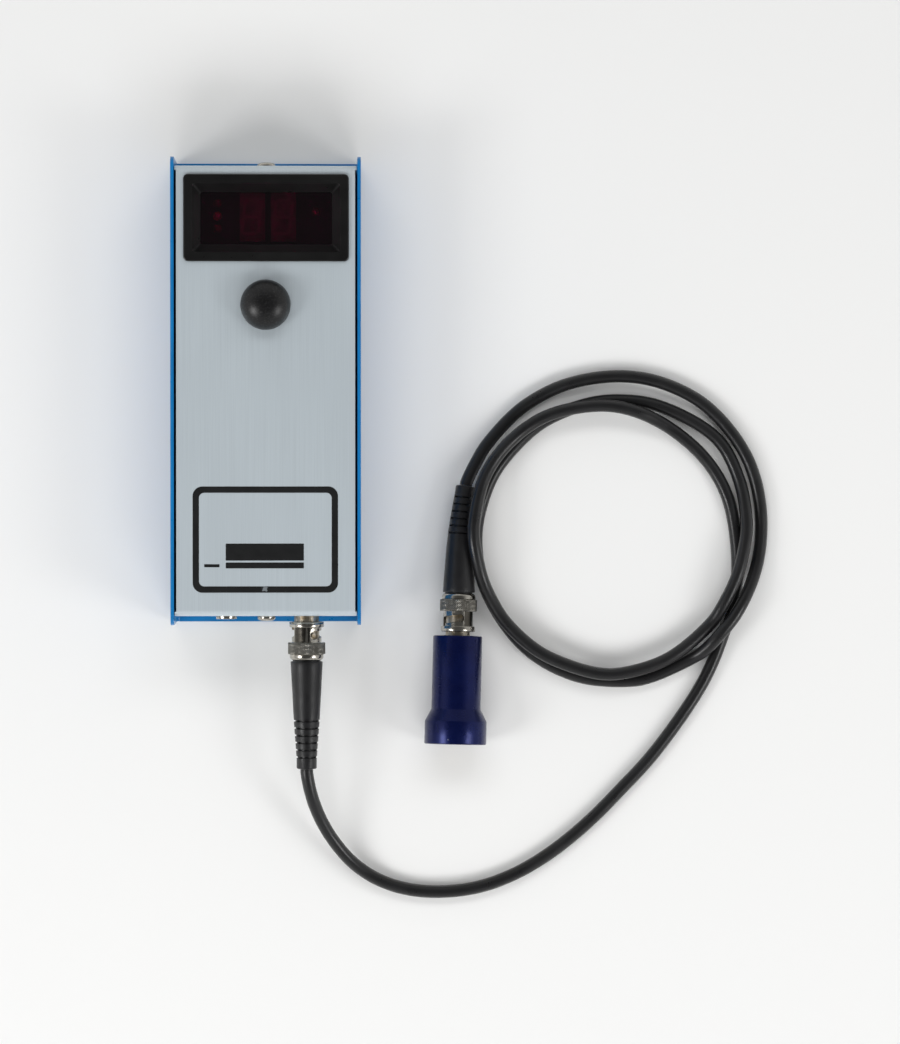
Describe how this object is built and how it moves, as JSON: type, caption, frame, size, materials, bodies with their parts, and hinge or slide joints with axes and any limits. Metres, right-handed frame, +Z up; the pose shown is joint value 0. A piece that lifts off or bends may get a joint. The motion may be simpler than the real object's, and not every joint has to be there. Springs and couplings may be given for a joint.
{
  "type": "ultrasonic backfat gauge",
  "caption": "Hand-held ultrasonic backfat gauge: sheet-metal display box with a push button, a coax lead with bayonet plugs and a round ultrasonic probe.",
  "frame": {"origin": "centre of the box's flat underside", "axes": "+X to the right seen from above with the display away from the viewer, +Y from the lead end towards the display end, +Z up out of the front panel"},
  "size_m": [0.2311, 0.2854, 0.0514],
  "materials": {
    "blue_paint": "semi-gloss blue paint on folded sheet",
    "grey_paint": "satin light grey",
    "nickel": "bright nickel plate",
    "steel": "zinc-plated steel",
    "black_plastic": "satin black moulding",
    "window": "dark red display filter",
    "digit": "unlit red digit block",
    "led": "tinted red epoxy",
    "board": "green solder mask",
    "dome": "matt black, fine grain",
    "ptfe": "white fluoroplastic",
    "gold": "gold-plated contact",
    "boot_rubber": "satin black moulded rubber",
    "cord_jacket": "smooth black cable jacket",
    "probe_blue": "glossy dark blue",
    "lens": "amber casting resin",
    "ceramic": "fired, silvered faces",
    "epoxy": "loaded grey casting resin",
    "nylon": "natural nylon",
    "battery_wrap": "green shrink sleeve",
    "chip": "black moulded package"
  },
  "bodies": {
    "housing": {"rear_case": "blue_paint", "front_panel": "grey_paint", "case_screw_top": "nickel", "case_screw_bottom": "nickel", "end_bracket_top": "steel", "end_bracket_bottom": "steel", "bracket_rivet_top": "steel", "bracket_rivet_bottom": "steel", "display_bezel": "black_plastic", "display_window": "window", "display_board": "board", "digit_left": "digit", "digit_right": "digit", "status_led_1": "led", "status_led_2": "led", "status_led_3": "led", "power_led": "led", "button_switch": "black_plastic", "button_nut": "nickel", "box_jack_body": "nickel", "box_jack_housing": "black_plastic", "box_jack_insulator": "ptfe", "box_jack_contact": "gold", "charge_jack_body": "black_plastic", "charge_jack_nut": "nickel", "box_plug_body": "nickel", "box_plug_pin": "gold", "box_plug_boot": "boot_rubber", "main_board": "board", "main_board_post_1": "nylon", "main_board_post_2": "nylon", "main_board_post_3": "nylon", "main_board_post_4": "nylon", "jack_board": "board", "jack_board_post_1": "nylon", "jack_board_post_2": "nylon", "processor_chip": "chip", "board_header": "black_plastic", "battery_pack": "battery_wrap", "battery_clamp": "steel", "clamp_screw_left": "steel", "clamp_screw_right": "steel", "signal_cable": "cord_jacket", "probe_housing": "probe_blue", "probe_lens": "lens", "probe_crystal": "ceramic", "probe_backing": "epoxy", "probe_jack_body": "nickel", "probe_jack_insulator": "ptfe", "probe_jack_contact": "gold", "probe_plug_body": "nickel", "probe_plug_pin": "gold", "probe_plug_boot": "boot_rubber"},
    "button": {"button_cap": "dome"},
    "box_spring_washer": {"box_plug_washer": "steel"},
    "box_coupling": {"box_plug_coupling": "nickel"},
    "probe_spring_washer": {"probe_plug_washer": "steel"},
    "probe_coupling": {"probe_plug_coupling": "nickel"}
  },
  "joints": [
    {"name": "button_press", "type": "slide", "parent": "housing", "child": "button", "axis": [0, 0, -1], "range_m": [0, 0.002], "stiffness_N_per_m": 1000, "springref_m": -0.001},
    {"name": "box_coupling_draw", "type": "slide", "parent": "housing", "child": "box_spring_washer", "axis": [0, -1, 0], "range_m": [0, 0.0005], "stiffness_N_per_m": 300, "springref_m": -0.0005},
    {"name": "box_coupling_turn", "type": "hinge", "parent": "box_spring_washer", "child": "box_coupling", "pos_m": [0.0154, -0.0883, 0.0205], "axis": [0, -1, 0], "range_deg": [0, 80]},
    {"name": "probe_coupling_draw", "type": "slide", "parent": "housing", "child": "probe_spring_washer", "axis": [0.0258, 0.998, -0.0576], "range_m": [0, 0.0005], "stiffness_N_per_m": 300, "springref_m": -0.0005},
    {"name": "probe_coupling_turn", "type": "hinge", "parent": "probe_spring_washer", "child": "probe_coupling", "pos_m": [0.07392, -0.09269, 0.00998], "axis": [0.0258, 0.998, -0.0576], "range_deg": [0, 80]}
  ],
  "couplings": [
    {"joint": "box_coupling_turn", "follows": "box_coupling_draw", "rad_per_m": 2792},
    {"joint": "probe_coupling_turn", "follows": "probe_coupling_draw", "rad_per_m": 2792}
  ]
}
